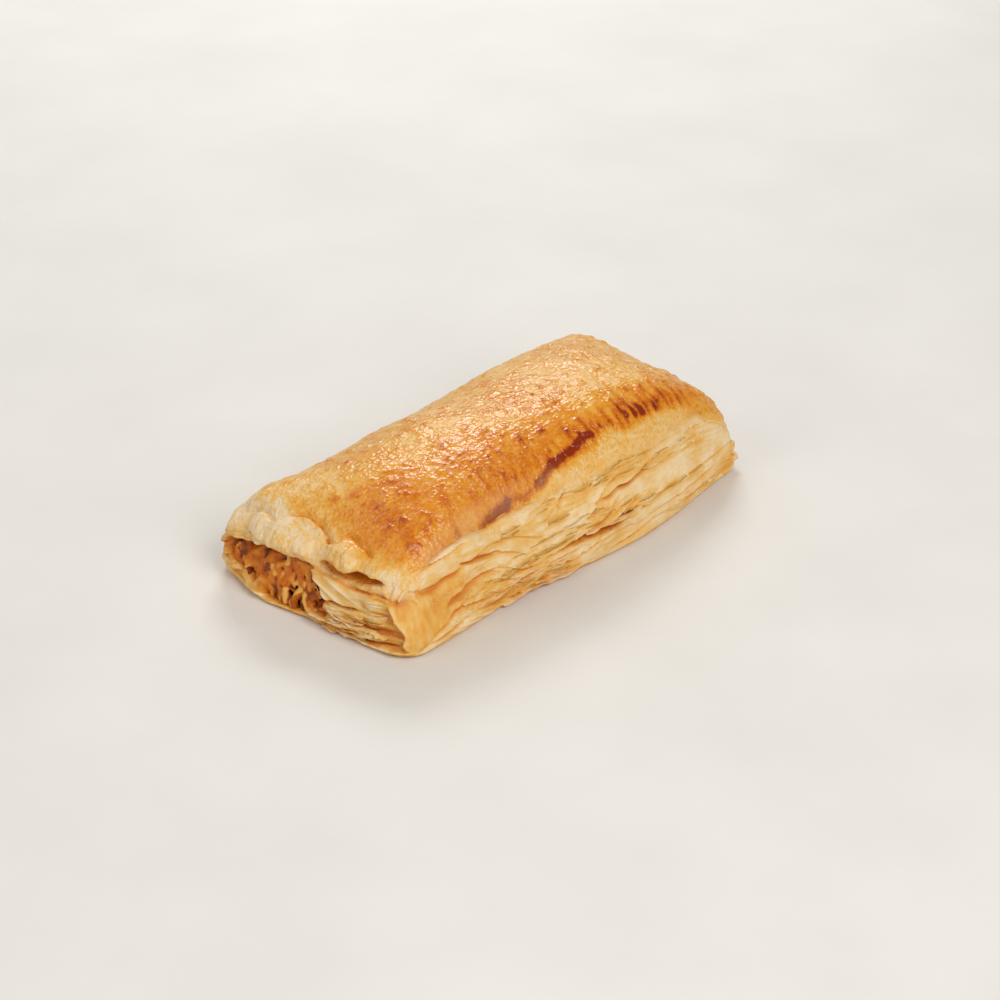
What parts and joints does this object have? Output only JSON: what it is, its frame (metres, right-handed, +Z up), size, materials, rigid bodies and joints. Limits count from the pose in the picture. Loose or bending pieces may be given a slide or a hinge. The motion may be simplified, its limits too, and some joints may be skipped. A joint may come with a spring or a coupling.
{
  "type": "turkey puff pastry",
  "caption": "Rectangular baked puff pastry parcel with a domed glazed crust, a sealed side of flaky layers, a smooth fold and a bar of shredded turkey filling that shows at its open ends.",
  "frame": {"origin": "under the middle of the parcel's box, on the surface that it rests on", "axes": "+X along the parcel away from the open end that the picture shows, +Y across it towards the smooth fold, +Z up"},
  "size_m": [0.1544, 0.0852, 0.041],
  "materials": {
    "pastry": "baked laminated dough: golden brown egg-washed crust with a soft gloss, pale cream matte layers at the sides",
    "filling": "moist shredded turkey in an orange-brown sauce"
  },
  "bodies": {
    "root": {"pastry": "pastry", "filling": "filling"}
  },
  "joints": []
}
